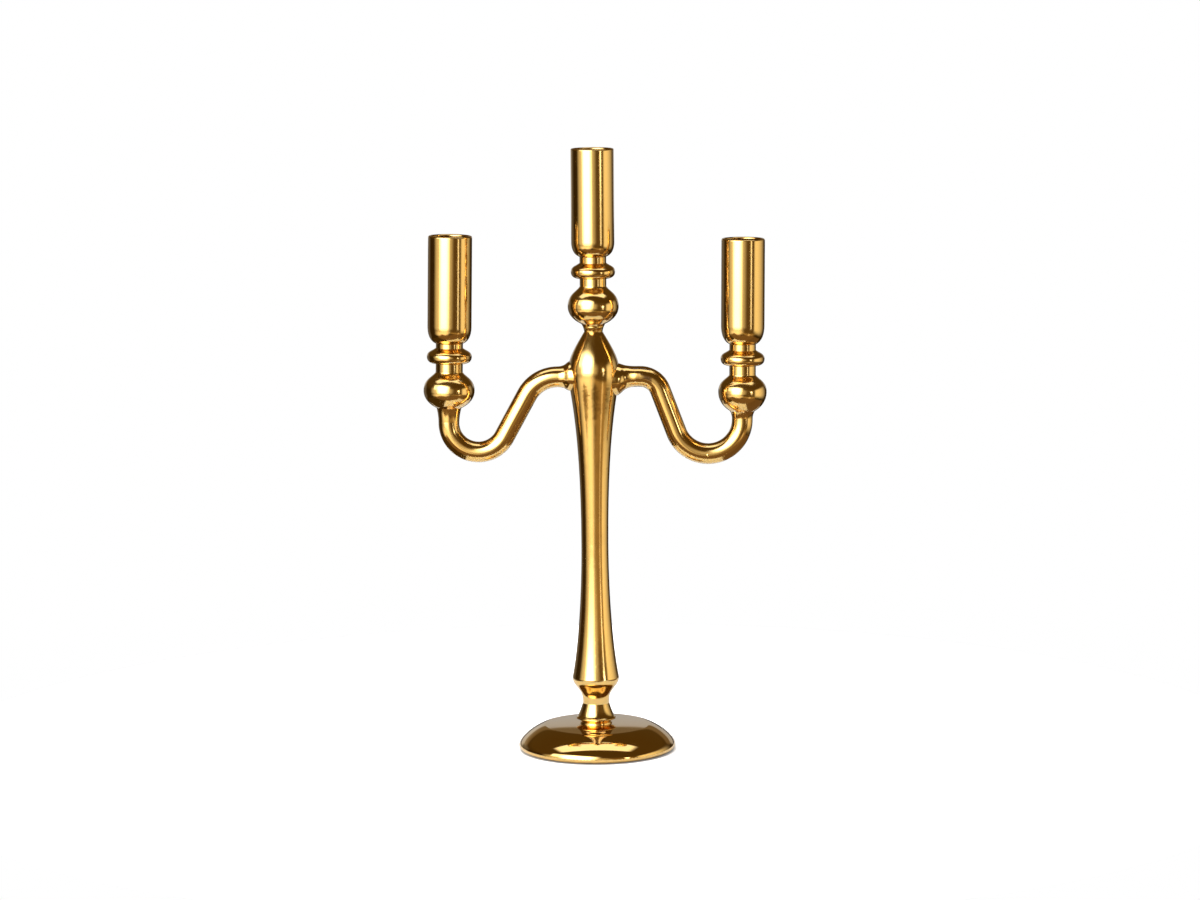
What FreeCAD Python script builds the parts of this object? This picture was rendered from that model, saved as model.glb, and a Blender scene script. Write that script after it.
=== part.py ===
import FreeCAD
import Part
import Sketcher
import math
import os

# Three-light candelabra of blown glass tube, made as the separate worked glasses that are fused into one.
# Z is up, X runs along the two arms and the origin is on the table under the middle of the object.

Vector = FreeCAD.Vector

# Driving sizes in millimetres, and angles in degrees
SIZES = {
    # foot: a shallow hollow dome, open underneath, with a rolled rim and a ground contact ring
    "foot_radius": 51.6,
    "foot_height": 17.5,
    "foot_wall": 3.0,
    "foot_rim_rise": 3.0,
    "foot_contact_radius": 48.2,
    "foot_contact_width": 1.6,
    "foot_crown_radius": 34.3,
    "foot_crown_drop": 1.0,
    "foot_x": -0.2,
    "vent_radius": 3.5,
    # column: collar, stem and centre light stand on one upright axis, set a little off the foot's middle
    "column_x": -0.8,
    # weld bead and flared collar that join the stem to the foot
    "seal_bead_radius": 10.8,
    "seal_bead_width": 2.3,
    "seal_bead_height": 0.8,
    "collar_waist_radius": 9.9,
    "collar_lip_radius": 13.3,
    "collar_lip_rise": 2.7,
    "collar_lip_round": 0.8,
    "collar_wall": 2.4,
    "collar_height": 12.5,
    "column_neck_radius": 8.7,
    # stem: hollow baluster, each rise counted from the level below it
    "stem_wall": 2.4,
    "stem_edge_radius": 15.4,
    "stem_edge_rise": 17.2,
    "stem_edge_round": 5.2,
    "stem_narrow_radius": 8.82,
    "stem_narrow_rise": 89.0,
    "stem_bulge_radius": 16.72,
    "stem_bulge_rise": 113.0,
    "stem_shoulder_rise": 26.1,
    "stem_top_radius": 6.0,
    # arms: one size of tube, each bent by hand to its own curve, its root counted down from the bulge
    "arm_radius": 6.75,
    "arm_wall": 1.8,
    "left_root_drop": 3.3,
    "left_run": 23.6,
    "left_crown_bend": 22.9,
    "left_slope_angle": 61.3,
    "left_trough_bend": 19.2,
    "right_root_drop": 3.4,
    "right_run": 30.2,
    "right_crown_bend": 14.0,
    "right_slope_angle": 69.4,
    "right_trough_bend": 22.2,
    # root seals: thickened flares where the arms meet the stem
    "left_flare_radius": 9.2,
    "left_flare_length": 6.5,
    "left_flare_drop": -0.4,
    "right_flare_radius": 10.0,
    "right_flare_length": 9.5,
    "right_flare_drop": 1.5,
    # lights: seal, knop, neck, ring and socket on one axis, each rise counted from the piece below
    "neck_wall": 2.2,
    "knop_wall": 2.3,
    "ring_drop": 4.4,
    "ring_skirt": 5.7,
    "socket_bore": 12.0,
    "socket_floor": 2.6,
    "left_x": -95.2,
    "left_base_drop": 19.8,
    "left_lean_angle": 1.05,
    "left_seal_length": 9.0,
    "left_seal_radius": 8.1,
    "left_knop_radius": 16.6,
    "left_knop_rise": 11.2,
    "left_knop_length": 23.8,
    "left_neck_radius": 8.8,
    "left_ring_radius": 14.6,
    "left_ring_rise": 9.7,
    "left_socket_rise": 8.6,
    "left_socket_round": 11.2,
    "left_socket_radius": 14.3,
    "left_socket_length": 70.2,
    "centre_seal_length": 5.2,
    "centre_seal_radius": 7.8,
    "centre_knop_radius": 16.55,
    "centre_knop_rise": 11.1,
    "centre_knop_length": 24.8,
    "centre_neck_radius": 8.65,
    "centre_ring_radius": 14.35,
    "centre_ring_rise": 9.1,
    "centre_socket_rise": 9.7,
    "centre_socket_round": 9.8,
    "centre_socket_radius": 14.0,
    "centre_socket_length": 70.1,
    "right_x": 95.9,
    "right_base_drop": 23.1,
    "right_lean_angle": 0.4,
    "right_seal_length": 4.5,
    "right_seal_radius": 8.1,
    "right_knop_radius": 15.75,
    "right_knop_rise": 12.5,
    "right_knop_length": 24.0,
    "right_neck_radius": 8.6,
    "right_ring_radius": 14.3,
    "right_ring_rise": 10.2,
    "right_socket_rise": 9.6,
    "right_socket_round": 12.4,
    "right_socket_radius": 14.1,
    "right_socket_length": 68.8,
}


class Length:
    """A size of the sheet, or sum of sizes, with its value and the expression that gives it."""

    def __init__(self, value, text):
        self.value = value
        self.text = text

    def __add__(self, other):
        return Length(self.value + other.value, "(%s + %s)" % (self.text, other.text))

    def __sub__(self, other):
        return Length(self.value - other.value, "(%s - %s)" % (self.text, other.text))

    def __mul__(self, share):
        return Length(self.value * share, "(%s * %s)" % (self.text, share))

    def __neg__(self):
        return Length(-self.value, "(-%s)" % self.text)


def size(name):
    return Length(SIZES[name], "sizes." + name)


NOTHING = Length(0, "0")
RIGHT_ANGLE = Length(90, "90")
FULL_TURN = 360

# Numbers that a sketch gives to its axes and to the start, end and centre of an edge
ACROSS, UP = -1, -2
START, END, CENTRE = 1, 2, 3
CUBIC = 3
POLE_WEIGHT = 1.0
POLE_OF_CURVE = "InternalAlignment:Sketcher::BSplineControlPoint"
UPRIGHT = Vector(0, 0, 1)

doc = FreeCAD.newDocument("candelabra")
pieces = []


def make_sheet():
    sheet = doc.addObject("Spreadsheet::Sheet", "sizes")
    for row, (name, value) in enumerate(SIZES.items(), 1):
        sheet.set("A%d" % row, name)
        sheet.set("B%d" % row, str(value))
        sheet.setAlias("B%d" % row, name)
    doc.recompute()
    return sheet


def between(start, end, share):
    return start + (end - start) * share


# Levels of the pieces, each standing on the one below
def collar_low():
    return size("foot_height") + size("seal_bead_height")


def collar_top():
    return collar_low() + size("collar_height")


def edge_level():
    return collar_top() + size("stem_edge_rise")


def narrow_level():
    return edge_level() + size("stem_narrow_rise")


def bulge_level():
    return narrow_level() + size("stem_bulge_rise")


def stem_top():
    return bulge_level() + size("stem_shoulder_rise")


def root_level(side):
    return bulge_level() - size(side + "_root_drop")


def light_base(side):
    if side == "centre":
        return stem_top() + size("centre_seal_length")
    return root_level(side) - size(side + "_base_drop")


# Outlines: a list of corners and curves, each step being one end point, or two handles and an end point
def shifted(outline, inset):
    """The same outline with its radii made smaller by a wall."""
    return [tuple((radius - inset, height) for radius, height in step) for step in outline]


def backwards(outline):
    """The same outline drawn from its last point to its first."""
    points = [point for step in outline for point in step][::-1]
    steps = [(points[0],)]
    position = 1
    for step in reversed(outline[1:]):
        steps.append(tuple(points[position:position + len(step)]))
        position += len(step)
    return steps


def tube_outline(side, wall):
    """Closed outline of a turned tube from the outline of its outer side."""
    inner = backwards(shifted(side, wall))
    return side + inner


def place_point(sketch, geometry, position, point, name):
    """Tie a sketch point to its radius and height."""
    radius, height = point
    for value, kind, axis, letter in ((radius, "DistanceX", UP, "r"), (height, "DistanceY", ACROSS, "z")):
        if value is NOTHING:
            sketch.addConstraint(Sketcher.Constraint("PointOnObject", geometry, position, axis))
            continue
        number = sketch.addConstraint(
            Sketcher.Constraint(kind, ACROSS, START, geometry, position, value.value))
        sketch.renameConstraint(number, name + letter)
        sketch.setExpression("Constraints." + name + letter, value.text)


def add_edge(sketch, points, name):
    """A straight edge, or a curve through its four control points, tied at all but its last point."""
    places = [Vector(radius.value, height.value, 0) for radius, height in points]
    if len(points) == 2:
        edge = sketch.addGeometry(Part.LineSegment(places[0], places[1]), False)
        place_point(sketch, edge, START, points[0], name)
        return edge
    curve = Part.BSplineCurve()
    curve.buildFromPoles(places, False, CUBIC)
    edge = sketch.addGeometry(curve, False)
    for number, place in enumerate(places):
        pole = sketch.addGeometry(Part.Circle(place, UPRIGHT, POLE_WEIGHT), True)
        sketch.addConstraint(Sketcher.Constraint("Weight", pole, POLE_WEIGHT))
        sketch.addConstraint(Sketcher.Constraint(POLE_OF_CURVE, pole, CENTRE, edge, number))
        if number < len(points) - 1:
            place_point(sketch, pole, CENTRE, points[number], name + "p%d" % number)
    return edge


def draw_outline(sketch, outline):
    """Close an outline in a sketch."""
    steps = outline[1:] + [outline[0]]
    corner = outline[0][-1]
    edges = []
    for number, step in enumerate(steps):
        edges.append(add_edge(sketch, [corner] + list(step), "e%d" % number))
        corner = step[-1]
    for edge, following in zip(edges, edges[1:] + edges[:1]):
        sketch.addConstraint(Sketcher.Constraint("Coincident", edge, END, following, START))


def new_sketch(body, name, role, offset=None):
    """A sketch on one of the body's own origin planes, or parallel to it."""
    sketch = body.newObject("Sketcher::SketchObject", name)
    plane = [feature for feature in body.Origin.OriginFeatures if feature.Role == role][0]
    sketch.AttachmentSupport = [(plane, "")]
    sketch.MapMode = "FlatFace"
    if offset is not None:
        sketch.setExpression("AttachmentOffset.Base.z", offset.text)
    return sketch


def new_body(label):
    body = doc.addObject("PartDesign::Body", label)
    body.Label = label
    return body


def turned_body(label, outline):
    """A body turned about its own Z axis."""
    body = new_body(label)
    sketch = new_sketch(body, label + "_outline", "XZ_Plane")
    draw_outline(sketch, outline)
    turn = body.newObject("PartDesign::Revolution", label + "_turn")
    turn.Profile = sketch
    turn.ReferenceAxis = (sketch, ["V_Axis"])
    turn.Angle = FULL_TURN
    return body


def stand_at(body, x, height, lean):
    """Stand a body's axis on a point of the XZ plane and lean it in that plane."""
    body.Placement = FreeCAD.Placement(Vector(0, 0, 0), FreeCAD.Rotation(Vector(0, 1, 0), lean.value))
    body.setExpression("Placement.Base.x", x.text)
    body.setExpression("Placement.Base.z", height.text)
    body.setExpression("Placement.Rotation.Angle", lean.text)


def keep(piece):
    """Count an object as a piece of the candelabra."""
    pieces.append(piece)
    return piece


def cut_from(label, base, tool):
    """What is left of a blank when its neighbour is taken out of it."""
    cut = doc.addObject("Part::Cut", label)
    cut.Label = label
    cut.Base = base
    cut.Tool = tool
    return cut


def add_circle(sketch, radius, height):
    """A circle on the sketch's vertical axis, tied to its radius and height."""
    circle = sketch.addGeometry(Part.Circle(Vector(0, height.value, 0), UPRIGHT, radius.value), False)
    number = sketch.addConstraint(Sketcher.Constraint("Radius", circle, radius.value))
    name = "size%d" % circle
    sketch.renameConstraint(number, name)
    sketch.setExpression("Constraints." + name, radius.text)
    place_point(sketch, circle, CENTRE, (NOTHING, height), "centre%d" % circle)


# Foot
def make_foot():
    radius = size("foot_radius")
    height = size("foot_height")
    wall = size("foot_wall")
    rim = size("foot_rim_rise")
    contact = size("foot_contact_radius")
    crown = size("foot_crown_radius")
    drop = size("foot_crown_drop")
    vent = size("vent_radius")
    crown_height = height - drop

    def dome(inset):
        """Upper side from the rim's widest plane to the vent, or the same inside the wall."""
        wide = radius - inset
        edge = crown - inset * 0.5
        top = height - inset
        edge_height = crown_height - inset
        return [
            ((wide, rim),),
            ((wide, between(rim, edge_height, 0.33)),
             (between(edge, wide, 0.33), edge_height - drop * 0.8),
             (edge, edge_height)),
            ((edge * 0.7, edge_height + drop * 0.65), (edge * 0.45, top), (vent, top)),
        ]

    inner_contact = contact - size("foot_contact_width")
    rolled = (
        (between(contact, radius, 0.5), NOTHING), (radius, rim * 0.5), (radius, rim))
    inner = radius - wall
    inner_rim = (
        (inner, rim * 0.5), (between(inner_contact, inner, 0.5), NOTHING), (inner_contact, NOTHING))
    outline = [((contact, NOTHING),), rolled] + dome(NOTHING)[1:] + backwards(dome(wall)) + [inner_rim]
    foot = turned_body("foot", outline)
    foot.setExpression("Placement.Base.x", size("foot_x").text)
    return keep(foot)


# Everything on the column stands on its own axis
def on_column(body):
    body.setExpression("Placement.Base.x", size("column_x").text)
    return body


def make_collar():
    waist = size("collar_waist_radius")
    lip = size("collar_lip_radius")
    low = collar_low()
    level = low + size("collar_lip_rise")
    top = collar_top()
    neck = size("column_neck_radius")
    wall = size("collar_wall")
    edge = size("collar_lip_round")
    side = [
        ((waist, low),),
        ((waist, between(low, level, 0.35)), (between(waist, lip, 0.55), between(low, level, 0.6)),
         (lip - edge * 0.3, level - edge * 0.5)),
        ((lip, level - edge * 0.2), (lip, level + edge * 0.3), (lip - edge * 0.4, level + edge * 0.5)),
        ((between(lip, neck, 0.42), between(level, top, 0.14)),
         (between(lip, neck, 0.68), between(level, top, 0.55)),
         (neck, top)),
    ]
    return keep(on_column(turned_body("foot_collar", tube_outline(side, wall))))


def make_foot_seal(foot):
    bead = size("seal_bead_radius")
    width = size("seal_bead_width")
    height = size("seal_bead_height")
    crown = size("foot_height")
    low = crown - height
    high = crown + height
    outline = [
        ((bead - width, low),),
        ((bead - height * 0.5, low),),
        ((bead, low), (bead, high), (bead - height * 0.5, high)),
        ((bead - width, high),),
    ]
    blank = on_column(turned_body("foot_seal_blank", outline))
    return keep(cut_from("foot_seal", blank, foot))


# Stem: outer side from the collar up to the top seal
def stem_side():
    neck = size("column_neck_radius")
    low = collar_top()
    edge = size("stem_edge_radius")
    edge_height = edge_level()
    edge_low = edge_height - size("stem_edge_round")
    narrow = size("stem_narrow_radius")
    narrow_height = narrow_level()
    bulge = size("stem_bulge_radius")
    bulge_height = bulge_level()
    top = size("stem_top_radius")
    top_height = stem_top()
    bevel = between(neck, edge, 0.72)
    return [
        ((neck, low),),
        ((neck, between(low, edge_low, 0.52)), (between(neck, bevel, 0.3), between(low, edge_low, 0.64)),
         (bevel, edge_low)),
        ((between(bevel, edge, 0.6), between(edge_low, edge_height, 0.3)),
         (edge, between(edge_low, edge_height, 0.55)), (edge, edge_height)),
        ((between(edge, narrow, 0.61), between(edge_height, narrow_height, 0.225)),
         (narrow, between(edge_height, narrow_height, 0.584)), (narrow, narrow_height)),
        ((narrow, between(narrow_height, bulge_height, 0.717)),
         (bulge, between(narrow_height, bulge_height, 0.894)), (bulge, bulge_height)),
        ((bulge, between(bulge_height, top_height, 0.326)),
         (between(bulge, top, 0.403), between(bulge_height, top_height, 0.594)), (top, top_height)),
    ]


def make_stem_blank():
    """The stem's outer form as a solid, which shapes the ends of what is fused to it."""
    side = stem_side()
    axis = [((NOTHING, side[-1][-1][1]),), ((NOTHING, side[0][-1][1]),)]
    return on_column(turned_body("stem_blank", side + axis))


def make_stem():
    wall = size("stem_wall")
    stem = turned_body("stem", tube_outline(stem_side(), wall))
    for side, backward in (("left", False), ("right", True)):
        sketch = new_sketch(stem, "stem_" + side + "_hole_outline", "YZ_Plane")
        add_circle(sketch, size("arm_radius") - size("arm_wall"), root_level(side))
        hole = stem.newObject("PartDesign::Pocket", "stem_" + side + "_hole")
        hole.Profile = sketch
        hole.setExpression("Length", (size("stem_bulge_radius") + wall).text)
        hole.Reversed = backward
    return keep(on_column(stem))


# Arms: a tube swept along a level run, a crown bend, a straight slope, a trough bend and a rise
def arm_route(side, way):
    """Corners of the arm's middle line, and the middles of its two bends, in the XZ plane."""
    slope = math.radians(SIZES[side + "_slope_angle"])
    crown = SIZES[side + "_crown_bend"]
    trough = SIZES[side + "_trough_bend"]
    lean = math.radians(SIZES[side + "_lean_angle"]) * way
    seal = SIZES[side + "_seal_length"]
    base = Vector(SIZES[side + "_x"] * way, light_base(side).value, 0)
    rise_way = Vector(math.sin(lean), math.cos(lean), 0)
    slope_way = Vector(math.cos(slope), -math.sin(slope), 0)
    column = SIZES["column_x"] * way
    root = Vector(column + SIZES["stem_bulge_radius"] - SIZES["stem_wall"], root_level(side).value, 0)
    crown_start = Vector(column + SIZES[side + "_run"], root.y, 0)
    crown_middle = crown_start - Vector(0, crown, 0)
    slope_normal = Vector(math.sin(slope), math.cos(slope), 0)
    slope_start = crown_middle + slope_normal * crown
    tip = base - rise_way * seal
    # the trough bend joins the slope to the rise, so the slope's length follows from where the tip stands
    bend_step = (slope_normal + Vector(rise_way.y, -rise_way.x, 0)) * trough
    gap = tip - slope_start - bend_step
    cross = slope_way.x * rise_way.y - slope_way.y * rise_way.x
    slope_end = slope_start + slope_way * ((gap.x * rise_way.y - gap.y * rise_way.x) / cross)
    trough_middle = slope_end + slope_normal * trough
    trough_end = slope_end + bend_step
    route = [root, crown_start, slope_start, slope_end, trough_end, tip, base, crown_middle, trough_middle]
    return [Vector(point.x * way, point.y, 0) for point in route]


def add_bend(sketch, middle, start, end):
    """An arc of under a half turn about its middle."""
    first = start - middle
    across = first + end - middle
    through = middle + across.normalize() * first.Length
    return sketch.addGeometry(Part.Arc(start, through, end), False)


def end_at(sketch, edge, place):
    """The number of the edge's end that lies at a place."""
    first = sketch.getPoint(edge, START)
    last = sketch.getPoint(edge, END)
    return START if first.distanceToPoint(place) < last.distanceToPoint(place) else END


def add_size(sketch, name, length, *what):
    """A dimension of the sketch, tied to the sheet."""
    value = math.radians(length.value) if what[0] == "Angle" else length.value
    number = sketch.addConstraint(Sketcher.Constraint(*what, value))
    sketch.renameConstraint(number, name)
    sketch.setExpression("Constraints." + name, length.text)


def draw_arm_route(sketch, side, way):
    (root, crown_start, slope_start, slope_end, trough_end, tip, base,
     crown_middle, trough_middle) = arm_route(side, way)
    run = sketch.addGeometry(Part.LineSegment(root, crown_start), False)
    crown = add_bend(sketch, crown_middle, crown_start, slope_start)
    slope = sketch.addGeometry(Part.LineSegment(slope_end, slope_start), False)
    trough = add_bend(sketch, trough_middle, slope_end, trough_end)
    rise = sketch.addGeometry(Part.LineSegment(trough_end, tip), False)
    seal = sketch.addGeometry(Part.LineSegment(tip, base), True)
    joins = [
        (run, crown, crown_start),
        (slope, crown, slope_start),
        (slope, trough, slope_end),
        (rise, trough, trough_end),
    ]
    for edge, bend, place in joins:
        edge_end = end_at(sketch, edge, place)
        bend_end = end_at(sketch, bend, place)
        sketch.addConstraint(Sketcher.Constraint("Tangent", edge, edge_end, bend, bend_end))
    sketch.addConstraint(Sketcher.Constraint("Coincident", rise, END, seal, START))
    sketch.addConstraint(Sketcher.Constraint("Parallel", rise, seal))
    sketch.addConstraint(Sketcher.Constraint("Horizontal", run))
    stem_inside = size("column_x") + (size("stem_bulge_radius") - size("stem_wall")) * way
    run_end = size("column_x") + size(side + "_run") * way
    add_size(sketch, "root_x", stem_inside, "DistanceX", ACROSS, START, run, START)
    add_size(sketch, "root_height", root_level(side), "DistanceY", ACROSS, START, run, START)
    add_size(sketch, "run", run_end, "DistanceX", ACROSS, START, run, END)
    add_size(sketch, "crown_bend", size(side + "_crown_bend"), "Radius", crown)
    add_size(sketch, "trough_bend", size(side + "_trough_bend"), "Radius", trough)
    slope_angle = RIGHT_ANGLE + (RIGHT_ANGLE - size(side + "_slope_angle")) * way
    add_size(sketch, "slope", slope_angle, "Angle", slope)
    add_size(sketch, "base_x", size(side + "_x"), "DistanceX", ACROSS, START, seal, END)
    add_size(sketch, "base_height", light_base(side), "DistanceY", ACROSS, START, seal, END)
    add_size(sketch, "seal", size(side + "_seal_length"), "Distance", seal, START, seal, END)
    add_size(sketch, "lean", RIGHT_ANGLE - size(side + "_lean_angle"), "Angle", seal)


def make_arm(side, way, stem_blank):
    label = side + "_arm"
    body = new_body(label + "_blank")
    route = new_sketch(body, label + "_route", "XZ_Plane")
    draw_arm_route(route, side, way)
    stem_inside = size("column_x") + (size("stem_bulge_radius") - size("stem_wall")) * way
    section = new_sketch(body, label + "_section", "YZ_Plane", stem_inside)
    add_circle(section, size("arm_radius"), root_level(side))
    add_circle(section, size("arm_radius") - size("arm_wall"), root_level(side))
    tube = body.newObject("PartDesign::AdditivePipe", label + "_tube")
    tube.Profile = section
    tube.Spine = route
    return keep(cut_from(label, body, stem_blank))


# Root seals: trumpet flares from inside the stem's side out to the arm's tube, a little high or low on it
FLARE_SHARES = [
    (-0.6, 1.42), (-0.25, 1.24), (0.0, 1.0), (0.33, 0.42), (0.6, 0.15), (0.83, 0.035), (1.0, 0.012)]


def make_root_seal(side, way, stem_blank):
    label = side + "_root_seal"
    body = new_body(label + "_blank")
    tube = size("arm_radius")
    bulge = size("stem_bulge_radius")
    length = size(side + "_flare_length")
    swell = size(side + "_flare_radius") - tube
    drop = size(side + "_flare_drop")
    root = root_level(side)
    sections = []
    for number, (reach_share, swell_share) in enumerate(FLARE_SHARES):
        reach = bulge + length * reach_share
        name = "%s_section_%d" % (label, number)
        section = new_sketch(body, name, "YZ_Plane", size("column_x") + reach * way)
        add_circle(section, tube + swell * swell_share, root - drop * swell_share)
        sections.append(section)
    flare = body.newObject("PartDesign::AdditiveLoft", label + "_flare")
    flare.Profile = sections[0]
    flare.Sections = sections[1:]
    hole = new_sketch(body, label + "_hole_outline", "YZ_Plane", size("column_x"))
    add_circle(hole, tube, root)
    passage = body.newObject("PartDesign::Pocket", label + "_hole")
    passage.Profile = hole
    passage.setExpression("Length", (bulge + length * 1.5).text)
    passage.Reversed = way > 0
    return keep(cut_from(label, body, stem_blank))


# Lights: each is a seal, a hollow knop, a neck, a wound ring and a socket like a test tube
def place_light(body, side):
    if side == "centre":
        return on_column(body)
    stand_at(body, size(side + "_x"), light_base(side), size(side + "_lean_angle"))
    return body


def make_light_seal(label, side, base, low, low_radius):
    high_radius = size(side + "_seal_radius")
    side_line = [
        ((low_radius, low),),
        ((between(low_radius, high_radius, 0.12), between(low, base, 0.4)),
         (between(low_radius, high_radius, 0.5), between(low, base, 0.72)), (high_radius, base)),
    ]
    return keep(place_light(turned_body(label, tube_outline(side_line, size("knop_wall"))), side))


def make_knop(side, base):
    foot_radius = size(side + "_seal_radius")
    radius = size(side + "_knop_radius")
    neck = size(side + "_neck_radius")
    middle = base + size(side + "_knop_rise")
    top = base + size(side + "_knop_length")
    side_line = [
        ((foot_radius, base),),
        ((between(foot_radius, radius, 0.43), between(base, middle, 0.145)),
         (radius, between(base, middle, 0.48)), (radius, middle)),
        ((radius, between(middle, top, 0.46)), (between(neck, radius, 0.565), between(middle, top, 0.635)),
         (between(neck, radius, 0.28), between(middle, top, 0.785))),
        ((between(neck, radius, 0.19), between(middle, top, 0.832)), (neck, between(middle, top, 0.93)),
         (neck, top)),
    ]
    outline = tube_outline(side_line, size("knop_wall"))
    return keep(place_light(turned_body(side + "_knop", outline), side))


def ring_level(side, base):
    return base + size(side + "_knop_length") + size(side + "_ring_rise")


def socket_low(side, base):
    return ring_level(side, base) + size(side + "_socket_rise")


def make_neck(side, base):
    radius = size(side + "_neck_radius")
    side_line = [
        ((radius, base + size(side + "_knop_length")),),
        ((radius, socket_low(side, base)),),
    ]
    outline = tube_outline(side_line, size("neck_wall"))
    return keep(place_light(turned_body(side + "_neck", outline), side))


def make_ring(side, base):
    neck = size(side + "_neck_radius")
    radius = size(side + "_ring_radius")
    middle = ring_level(side, base)
    low = middle - size("ring_drop")
    high = middle + size("ring_skirt")
    outline = [
        ((neck, low),),
        ((between(neck, radius, 0.75), low), (radius, between(low, middle, 0.42)), (radius, middle)),
        ((radius, between(middle, high, 0.6)), (between(neck, radius, 0.4), between(middle, high, 0.66)),
         (neck, high)),
    ]
    return keep(place_light(turned_body(side + "_ring", outline), side))


def make_socket(side, base):
    neck = size(side + "_neck_radius")
    radius = size(side + "_socket_radius")
    bore = size("socket_bore")
    low = socket_low(side, base)
    straight = low + size(side + "_socket_round")
    top = low + size(side + "_socket_length")
    floor = low + size("socket_floor")
    wall = radius - bore
    rim_round = wall * 0.5
    rim_middle = bore + rim_round
    outline = [
        ((NOTHING, low),),
        ((neck, low),),
        ((between(neck, radius, 0.56), between(low, straight, 0.11)),
         (radius, between(low, straight, 0.4)), (radius, straight)),
        ((radius, top - rim_round),),
        ((radius, top - rim_round * 0.45), (rim_middle + rim_round * 0.55, top), (rim_middle, top)),
        ((rim_middle - rim_round * 0.55, top), (bore, top - rim_round * 0.45), (bore, top - rim_round)),
        ((bore, straight),),
        ((bore, between(floor, straight, 0.4)), (bore * 0.62, floor), (NOTHING, floor)),
    ]
    return keep(place_light(turned_body(side + "_socket", outline), side))


def make_light(side, base):
    make_knop(side, base)
    make_neck(side, base)
    make_ring(side, base)
    make_socket(side, base)


def make_candelabra():
    make_sheet()
    foot = make_foot()
    make_foot_seal(foot)
    make_collar()
    stem_blank = make_stem_blank()
    make_stem()
    for side, way in (("left", -1), ("right", 1)):
        make_arm(side, way, stem_blank)
        make_root_seal(side, way, stem_blank)
        tip = -size(side + "_seal_length")
        make_light_seal(side + "_tip_seal", side, NOTHING, tip, size("arm_radius"))
        make_light(side, NOTHING)
    base = light_base("centre")
    make_light_seal("stem_top_seal", "centre", base, stem_top(), size("stem_top_radius"))
    make_light("centre", base)
    doc.recompute()


def check_document():
    """Stop if any feature failed or any piece is not a sound solid."""
    for feature in doc.Objects:
        if "Invalid" in feature.State or "Error" in feature.State:
            raise RuntimeError("%s failed: %s" % (feature.Name, feature.State))
    for piece in pieces:
        shape = piece.Shape
        if shape.isNull() or not shape.isValid() or len(shape.Solids) != 1:
            raise RuntimeError("%s is not one sound solid" % piece.Label)


def write_pieces():
    os.makedirs("parts", exist_ok=True)
    for piece in pieces:
        piece.Shape.exportStep("parts/%s.step" % piece.Label)
        box = piece.Shape.BoundBox
        print("%-18s volume %9.1f  x %7.2f to %7.2f  z %7.2f to %7.2f" % (
            piece.Label, piece.Shape.Volume, box.XMin, box.XMax, box.ZMin, box.ZMax))


make_candelabra()
check_document()
write_pieces()
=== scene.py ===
import math

import bpy
from mathutils import Matrix, Vector

# Candelabra of flame-worked glass tube with a fired gold lustre, on a white table in a product studio.
# Metres; Z is up, X runs along the arms and the photograph is taken from -Y.

MM = 0.001

# Photograph: where the camera stands and how it is turned, for a frame of 1200 by 900 pixels
FRAME_WIDTH = 1200
FOCAL_PIXELS = 3867
FRAME_OFFSET = (4.6, -2.1)
SENSOR = 36
CAMERA_DISTANCE = 2.5
CAMERA_HEIGHT = 0.540
AIM_HEIGHT = 0.197
CAMERA_ROLL = math.radians(-0.4)

# Patterns in the glass and its film, in millimetres, and where in their noise the clouds begin and end
DRIFT_SIZE = 40
WAVE_SIZE = 12.5
CLOUD_SIZE = 6.25
CLOUD_REACH = (0.35, 0.7)
PEEL_SIZE = 2.222
PEEL_DEPTH = 0.0004

# Gold of the film where it is thin, thick and burnt, and the glassy flux over it
THIN_GOLD = "#F6CE7C"
THICK_GOLD = "#EDBE66"
BURNT_GOLD = "#6B4418"
FLUX_ROUGHNESS = 0.03
FLUX_IOR = 1.5

# Kinds of glass: depth of the waves in millimetres, range of the roughness, last words of the nodes' names.
# The pressed foot is the smoothest, and what was bent or pulled in the flame is the waviest.
GLASSES = {
    "drawn_tube": (0.010, (0.12, 0.16), ("socket", "neck")),
    "pressed_foot": (0.006, (0.05, 0.08), ("foot",)),
    "flame_worked": (0.025, (0.12, 0.17), ("arm", "seal", "stem", "collar")),
    "blown_knop": (0.012, (0.12, 0.17), ("knop", "ring")),
}

# Marks in the glass, in millimetres and degrees: middle, turn about Y, half sizes, rise, share of burnt gold.
# A mark is at its full within MARK_CORE of its half sizes, and fades to nothing at them.
BUBBLE = ((73.3, -5.5, 195.3), 0, (1.1, 3.0, 1.1), 0.35, 0.0)
ROOT_WAVE = ((28.5, -6.0, 246.0), 0, (9.0, 8.0, 14.0), 0.9, 0.0)
WISP = ((8.1, -8.0, 187.6), -35, (2.2, 4.0, 0.4), 0.1, 0.8)
SEAL_RING = ((-0.8, 0.0, 278.8), 0, (30.0, 30.0, 1.4), 0.4, 0.0)
SEAM = ((-1.4, -12.6, 20.4), -5, (8.5, 8.0, 0.5), 0.3, 0.0)
MARKS = {
    "right_arm": (BUBBLE, ROOT_WAVE),
    "right_root_seal": (ROOT_WAVE,),
    "stem": (WISP,),
    "stem_top_seal": (SEAL_RING,),
    "foot_collar": (SEAM,),
}
MARK_CORE = 0.2

# Table: its top, the painted soft shade round the foot, and the painted dark shadow in the gap under the
# foot's rim
TABLE_RADIUS = 0.45
TABLE_DROP = 0.0002
TABLE_WHITE = "#F2F0EC"
RIM_SHADOW = "#2A2420"
SHADE_REACH = (0.07, 0.2)
SHADE_LIGHT = 0.72
RIM_GAP = (0.0495, 0.053)
RIM_LIGHT = 0.3

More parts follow.
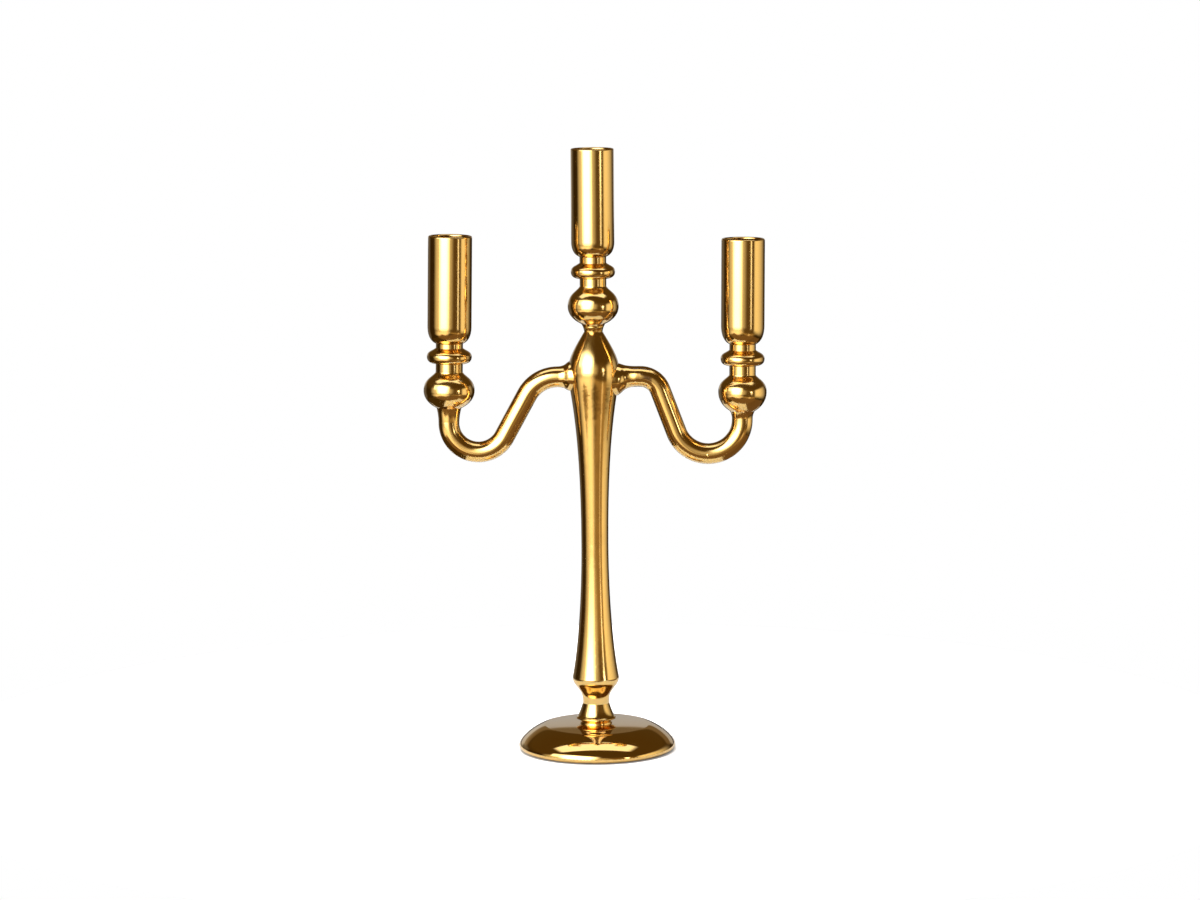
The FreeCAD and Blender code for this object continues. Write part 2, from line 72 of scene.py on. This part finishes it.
# Studio round the table
STUDIO_CENTRE = Vector((0, 0, 0.22))
CARD_DISTANCE = 1.8
CARD_LIFT = 0.001
OVERHEAD_PLACE = (-0.08, 0.02, 1.42)
OVERHEAD_SIZE = (2.16, 0.58)
TENT_RADIUS = 4
TENT_RAMP = (0.35, 1.7)
SURROUND_LIGHT = 0.35


def colour(code):
    """Linear colour of an sRGB hex code."""
    parts = [int(code[place:place + 2], 16) / 255 for place in (1, 3, 5)]
    linear = [part / 12.92 if part <= 0.04045 else ((part + 0.055) / 1.055) ** 2.4 for part in parts]
    return (*linear, 1)


def add_node(tree, kind, inputs=None, **settings):
    """Add a shader node with its settings, its input values and its links."""
    made = tree.nodes.new(kind)
    for name, value in settings.items():
        setattr(made, name, value)
    for socket, value in (inputs or {}).items():
        if isinstance(value, bpy.types.NodeSocket):
            tree.links.new(value, made.inputs[socket])
        else:
            made.inputs[socket].default_value = value
    return made


def new_material(name):
    """An empty node material and its node tree."""
    material = bpy.data.materials.new(name)
    material.use_nodes = True
    material.node_tree.nodes.clear()
    return material, material.node_tree


def add_mark(tree, place, film, normal, mark):
    """Raise and burn the film inside a small ellipsoid, and give back its colour and its normal."""
    centre, turn, halves, rise, burnt = mark
    inside = add_node(tree, "ShaderNodeMapping", {
        "Vector": place, "Location": [part * MM for part in centre], "Rotation": (0, math.radians(turn), 0),
        "Scale": [part * MM for part in halves]}, vector_type="TEXTURE").outputs["Vector"]
    away = add_node(tree, "ShaderNodeVectorMath", {0: inside}, operation="LENGTH").outputs["Value"]
    spot = add_node(tree, "ShaderNodeMapRange", {
        "Value": away, "From Min": 1.0, "From Max": MARK_CORE},
        interpolation_type="SMOOTHSTEP").outputs["Result"]
    normal = add_node(tree, "ShaderNodeBump", {
        "Height": spot, "Strength": 1.0, "Distance": rise * MM, "Normal": normal}).outputs["Normal"]
    share = add_node(tree, "ShaderNodeMath", {0: spot, 1: burnt}, operation="MULTIPLY").outputs[0]
    film = add_node(tree, "ShaderNodeMix", {
        "Factor": share, "A": film, "B": colour(BURNT_GOLD)}, data_type="RGBA").outputs[2]
    return film, normal


def gold_lustre(name, wave, rough, marks=()):
    """Gold lustre fired on glass: a soft mirror of metal that shows the small waves left by the flame."""
    material, tree = new_material(name)
    place = add_node(tree, "ShaderNodeTexCoord").outputs["Object"]
    # where the film drifts thicker the gold is a little redder
    drift = add_node(tree, "ShaderNodeTexNoise", {
        "Vector": place, "Scale": 1 / (DRIFT_SIZE * MM), "Detail": 2.0}).outputs["Fac"]
    film = add_node(tree, "ShaderNodeMix", {
        "Factor": drift, "A": colour(THIN_GOLD), "B": colour(THICK_GOLD)}, data_type="RGBA").outputs[2]
    # waves left by the flame, and a finer orange peel on them
    waves = add_node(tree, "ShaderNodeTexNoise", {
        "Vector": place, "Scale": 1 / (WAVE_SIZE * MM), "Detail": 1.0}).outputs["Fac"]
    peel = add_node(tree, "ShaderNodeTexNoise", {
        "Vector": place, "Scale": 1 / (PEEL_SIZE * MM), "Detail": 2.0}).outputs["Fac"]
    normal = add_node(tree, "ShaderNodeBump", {
        "Height": waves, "Strength": 1.0, "Distance": wave * MM}).outputs["Normal"]
    normal = add_node(tree, "ShaderNodeBump", {
        "Height": peel, "Strength": 1.0, "Distance": PEEL_DEPTH * MM, "Normal": normal}).outputs["Normal"]
    for mark in marks:
        film, normal = add_mark(tree, place, film, normal, mark)
    # faint clouds that the firing leaves in the shine
    cloud = add_node(tree, "ShaderNodeTexNoise", {
        "Vector": place, "Scale": 1 / (CLOUD_SIZE * MM), "Detail": 4.0}).outputs["Fac"]
    finish = add_node(tree, "ShaderNodeMapRange", {
        "Value": cloud, "From Min": CLOUD_REACH[0], "From Max": CLOUD_REACH[1],
        "To Min": rough[0], "To Max": rough[1]}).outputs["Result"]
    shader = add_node(tree, "ShaderNodeBsdfPrincipled", {
        "Base Color": film, "Metallic": 1.0, "Roughness": finish, "Normal": normal,
        "Coat Weight": 1.0, "Coat Roughness": FLUX_ROUGHNESS, "Coat IOR": FLUX_IOR})
    add_node(tree, "ShaderNodeOutputMaterial", {"Surface": shader.outputs["BSDF"]})
    return material


def make_camera():
    """The photograph's camera."""
    data = bpy.data.cameras.new("camera")
    data.sensor_width = SENSOR
    data.lens = FOCAL_PIXELS / FRAME_WIDTH * SENSOR
    camera = bpy.data.objects.new("camera", data)
    bpy.context.collection.objects.link(camera)
    turn_right = -math.atan(FRAME_OFFSET[0] / FOCAL_PIXELS)
    turn_down = (math.atan((CAMERA_HEIGHT - AIM_HEIGHT) / CAMERA_DISTANCE)
                 + math.atan(FRAME_OFFSET[1] / FOCAL_PIXELS))
    turn = (Matrix.Rotation(turn_right, 4, "Z") @ Matrix.Rotation(math.pi / 2 - turn_down, 4, "X")
            @ Matrix.Rotation(CAMERA_ROLL, 4, "Z"))
    camera.matrix_world = Matrix.Translation((0, -CAMERA_DISTANCE, CAMERA_HEIGHT)) @ turn
    bpy.context.scene.camera = camera


def make_world():
    """White surround, at full strength where it is seen or mirrored and softer as a light."""
    world = bpy.data.worlds.new("white_surround")
    world.use_nodes = True
    tree = world.node_tree
    tree.nodes.clear()
    path = add_node(tree, "ShaderNodeLightPath").outputs
    seen = path["Is Camera Ray"]
    for ray in ("Is Glossy Ray", "Is Transmission Ray"):
        seen = add_node(tree, "ShaderNodeMath", {0: seen, 1: path[ray]}, operation="MAXIMUM").outputs[0]
    strength = add_node(tree, "ShaderNodeMapRange", {
        "Value": seen, "To Min": SURROUND_LIGHT, "To Max": 1.0}).outputs["Result"]
    background = add_node(tree, "ShaderNodeBackground", {"Color": colour("#FFFFFF"), "Strength": strength})
    add_node(tree, "ShaderNodeOutputWorld", {"Surface": background.outputs["Background"]})
    bpy.context.scene.world = world


def make_table():
    """Top of white matt lacquer, which keeps the foot's shadow, with painted shade round the foot and a
    painted shadow under its rim, and runs out into the white surround.
    """
    bpy.ops.mesh.primitive_circle_add(
        vertices=128, radius=TABLE_RADIUS, fill_type="NGON", location=(0, 0, -TABLE_DROP))
    table = bpy.context.object
    table.name = "table_top"
    material, tree = new_material("white_table_lacquer")
    path = add_node(tree, "ShaderNodeLightPath").outputs
    place = add_node(tree, "ShaderNodeTexCoord").outputs["Object"]
    away = add_node(tree, "ShaderNodeVectorMath", {0: place}, operation="LENGTH").outputs["Value"]
    # painted shade: the glow that the camera sees dims towards the foot
    shade = add_node(tree, "ShaderNodeMapRange", {
        "Value": away, "From Min": SHADE_REACH[0], "From Max": SHADE_REACH[1],
        "To Min": SHADE_LIGHT, "To Max": 1.0}, interpolation_type="SMOOTHSTEP").outputs["Result"]
    # painted shadow: hardly any light gets under the foot's rim, so the table's glow and colour are darkened
    # there
    out_of_rim_shadow = add_node(tree, "ShaderNodeMapRange", {
        "Value": away, "From Min": RIM_GAP[0], "From Max": RIM_GAP[1],
        "To Min": RIM_LIGHT, "To Max": 1.0}, interpolation_type="SMOOTHSTEP").outputs["Result"]
    glow = add_node(tree, "ShaderNodeMath", {0: shade, 1: out_of_rim_shadow}, operation="MULTIPLY").outputs[0]
    shown = add_node(tree, "ShaderNodeMath", {
        0: glow, 1: path["Is Camera Ray"]}, operation="MULTIPLY").outputs[0]
    white = add_node(tree, "ShaderNodeMix", {
        "Factor": out_of_rim_shadow, "A": colour(RIM_SHADOW), "B": colour(TABLE_WHITE)}, data_type="RGBA").outputs[2]
    shader = add_node(tree, "ShaderNodeBsdfPrincipled", {
        "Base Color": white, "Roughness": 0.6, "Specular IOR Level": 0.0,
        "Emission Color": colour("#FFFFFF"), "Emission Strength": shown})
    add_node(tree, "ShaderNodeOutputMaterial", {"Surface": shader.outputs["BSDF"]})
    table.data.materials.append(material)


def add_plane(name, place):
    """A flat square of the studio, which its matrix puts in place and stretches to its size."""
    bpy.ops.mesh.primitive_plane_add(size=1)
    plane = bpy.context.object
    plane.name = name
    plane.matrix_world = place
    return plane


def hide_from(piece, *rays):
    """Hide a piece of the studio from some rays."""
    for ray in rays:
        setattr(piece, "visible_" + ray, False)


def card_material(name, strength, soft, tint):
    """A glowing card whose light falls off towards its left, right, lower and upper edge."""
    material, tree = new_material(name)
    place = add_node(tree, "ShaderNodeTexCoord").outputs["UV"]
    spot = add_node(tree, "ShaderNodeSeparateXYZ", {0: place}).outputs
    left, right, low, high = soft
    light = strength
    # a card faces the middle of the studio, so its own X runs from the right edge to the left
    for value, start, end in ((spot["X"], 0.0, right), (spot["X"], 1.0, 1 - left),
                              (spot["Y"], 0.0, low), (spot["Y"], 1.0, 1 - high)):
        edge = add_node(tree, "ShaderNodeMapRange", {
            "Value": value, "From Min": start, "From Max": end},
            interpolation_type="SMOOTHSTEP").outputs["Result"]
        light = add_node(tree, "ShaderNodeMath", {0: edge, 1: light}, operation="MULTIPLY").outputs[0]
    glow = add_node(tree, "ShaderNodeEmission", {"Color": colour(tint), "Strength": light})
    clear = add_node(tree, "ShaderNodeBsdfTransparent")
    mixed = add_node(tree, "ShaderNodeAddShader", {0: glow.outputs[0], 1: clear.outputs[0]})
    add_node(tree, "ShaderNodeOutputMaterial", {"Surface": mixed.outputs[0]})
    return material


def add_card(name, azimuth, elevation, strength, soft, tint="#FFFFFF", distance=CARD_DISTANCE):
    """A glowing card that fills a span of azimuth, from -Y towards +X, and of elevation, in degrees."""
    left, right = azimuth
    low, high = elevation
    turn = math.radians((left + right) / 2)
    rise = math.radians((low + high) / 2)
    way = Vector((math.sin(turn) * math.cos(rise), -math.cos(turn) * math.cos(rise), math.sin(rise)))
    width = 2 * distance * math.tan(math.radians(right - left) / 2) * math.cos(rise)
    height = 2 * distance * math.tan(math.radians(high - low) / 2)
    card = add_plane(name, Matrix.Translation(STUDIO_CENTRE + way * distance)
                     @ way.to_track_quat("-Z", "Y").to_matrix().to_4x4()
                     @ Matrix.Diagonal((width, height, 1, 1)))
    card.data.materials.append(card_material(name, strength, soft, tint))
    hide_from(card, "camera", "shadow")


def make_lights():
    """Soft boxes and cards that the gold mirrors."""
    # large soft box at the front left, with a brighter upper part, and its glow on the wall and the table
    add_card("key_soft_box", (-63.5, 5), (-14, 51), 5.0, soft=(0.34, 0.41, 0.28, 0.36), tint="#F2F6FF")
    add_card("key_top", (-77, 3), (8, 47), 2.2, soft=(0.06, 0.35, 0.4, 0.2), tint="#F2F6FF")
    add_card("key_glow", (-91.5, 25), (-14, 40), 0.86, soft=(0.34, 0.42, 0.18, 0.5), tint="#FFF8E4")
    add_card("key_bounce", (-88, 8), (-31, -6), 1.65, soft=(0.5, 0.4, 0.25, 0.45), tint="#FFF3DC")
    # large soft box overhead
    overhead = add_plane("overhead_soft_box",
                         Matrix.Translation(OVERHEAD_PLACE) @ Matrix.Diagonal((*OVERHEAD_SIZE, 1, 1)))
    overhead.data.materials.append(card_material(overhead.name, 1.6, (0.12, 0.12, 0.08, 0.08), "#F4F8FF"))
    hide_from(overhead, "camera", "shadow")
    # window strip at the front right, with a small bright lamp above it
    add_card("strip", (41.0, 48.0), (-11, 3), 2.0, soft=(0.4, 0.4, 0.3, 0.3))
    add_card("lamp", (38.5, 49.5), (0, 11), 6.0, soft=(0.4, 0.4, 0.4, 0.4))
    # reflector at the right, and two low cards close to the foot
    add_card("right_reflector", (57, 140), (-26, 23), 1.12, soft=(0.16, 0.75, 0.33, 0.27), tint="#FFF4D8")
    add_card("low_reflector", (-8, 84), (-23.5, -15), 0.3, soft=(0.2, 0.3, 0.3, 0.3), tint="#FFDC9C",
             distance=0.5)
    add_card("low_strip", (37, 49), (-24, -15), 0.6, soft=(0.4, 0.4, 0.3, 0.3), tint="#FFF3DC",
             distance=0.49)
    # dim walls at the front right and at the back left
    add_card("dim_wall", (-2, 64), (-45, 30), 0.08, soft=(0.2, 0.2, 0.3, 0.3), tint="#FFCF80")
    add_card("back_wall", (-178, -116), (-25, 15), 0.11, soft=(0.3, 0.3, 0.2, 0.2))
    # white paper in the shade behind the table, and the wall above it
    add_card("shaded_paper", (142, 218), (-2, 10.5), 0.4, soft=(0.15, 0.15, 0.08, 0.15), distance=2.2)
    add_card("shaded_wall", (135, 225), (9, 24), 0.12, soft=(0.15, 0.15, 0.05, 0.4), tint="#FFE0B0",
             distance=2.3)


def make_velvet():
    """Dark velvet all round, brighter high up, and dim glowing cards on the table as painted shade; only the
    gold mirrors them.
    """
    bpy.ops.mesh.primitive_uv_sphere_add(
        segments=64, ring_count=32, radius=TENT_RADIUS, location=STUDIO_CENTRE)
    tent = bpy.context.object
    tent.name = "velvet_tent"
    dark = [(tent, "#FFC660", 0.034, 0.085)]
    # dim cards on the table: painted shade, standing in for the table where the object shades it
    for name, left, right, near, far, tint, strength in (
            ("front_table_shade", -0.5, 0.5, -0.47, -0.14, "#FFCA8A", 0.2),
            ("left_table_shade", -0.5, -0.15, -0.14, 0.3, "#FFC660", 0.06),
            ("right_table_shade", 0.15, 0.5, -0.14, 0.3, "#FFCA8A", 0.16)):
        card = add_plane(name, Matrix.Translation(((left + right) / 2, (near + far) / 2, CARD_LIFT))
                         @ Matrix.Diagonal((right - left, far - near, 1, 1)))
        dark.append((card, tint, strength, strength))
    for piece, tint, low, high in dark:
        material, tree = new_material(piece.name)
        place = add_node(tree, "ShaderNodeTexCoord").outputs["Object"]
        rise = add_node(tree, "ShaderNodeSeparateXYZ", {0: place}).outputs["Z"]
        strength = add_node(tree, "ShaderNodeMapRange", {
            "Value": rise, "From Min": TENT_RAMP[0], "From Max": TENT_RAMP[1],
            "To Min": low, "To Max": high}).outputs["Result"]
        glow = add_node(tree, "ShaderNodeEmission", {"Color": colour(tint), "Strength": strength})
        add_node(tree, "ShaderNodeOutputMaterial", {"Surface": glow.outputs[0]})
        piece.data.materials.append(material)
        hide_from(piece, "camera", "diffuse", "shadow", "transmission")


def dress(nodes):
    """Give every node the lustre of its kind of glass, and one of its own where the glass has marks."""
    for kind, (wave, rough, words) in GLASSES.items():
        shared = gold_lustre("gold_lustre_" + kind, wave, rough)
        for name, node in nodes.items():
            if name.split("_")[-1] not in words:
                continue
            own = gold_lustre("gold_lustre_" + name, wave, rough, MARKS[name]) if name in MARKS else shared
            node.data.materials.clear()
            node.data.materials.append(own)


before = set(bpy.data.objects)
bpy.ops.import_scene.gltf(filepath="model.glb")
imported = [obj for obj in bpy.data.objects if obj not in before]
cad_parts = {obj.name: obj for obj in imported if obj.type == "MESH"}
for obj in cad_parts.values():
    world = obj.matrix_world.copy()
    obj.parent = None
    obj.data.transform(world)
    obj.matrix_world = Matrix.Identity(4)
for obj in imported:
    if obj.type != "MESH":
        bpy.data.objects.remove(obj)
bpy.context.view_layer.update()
bpy.ops.object.select_all(action="DESELECT")
bpy.context.scene.view_settings.view_transform = "Standard"
make_camera()
make_world()
make_table()
make_velvet()
make_lights()
dress(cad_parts)
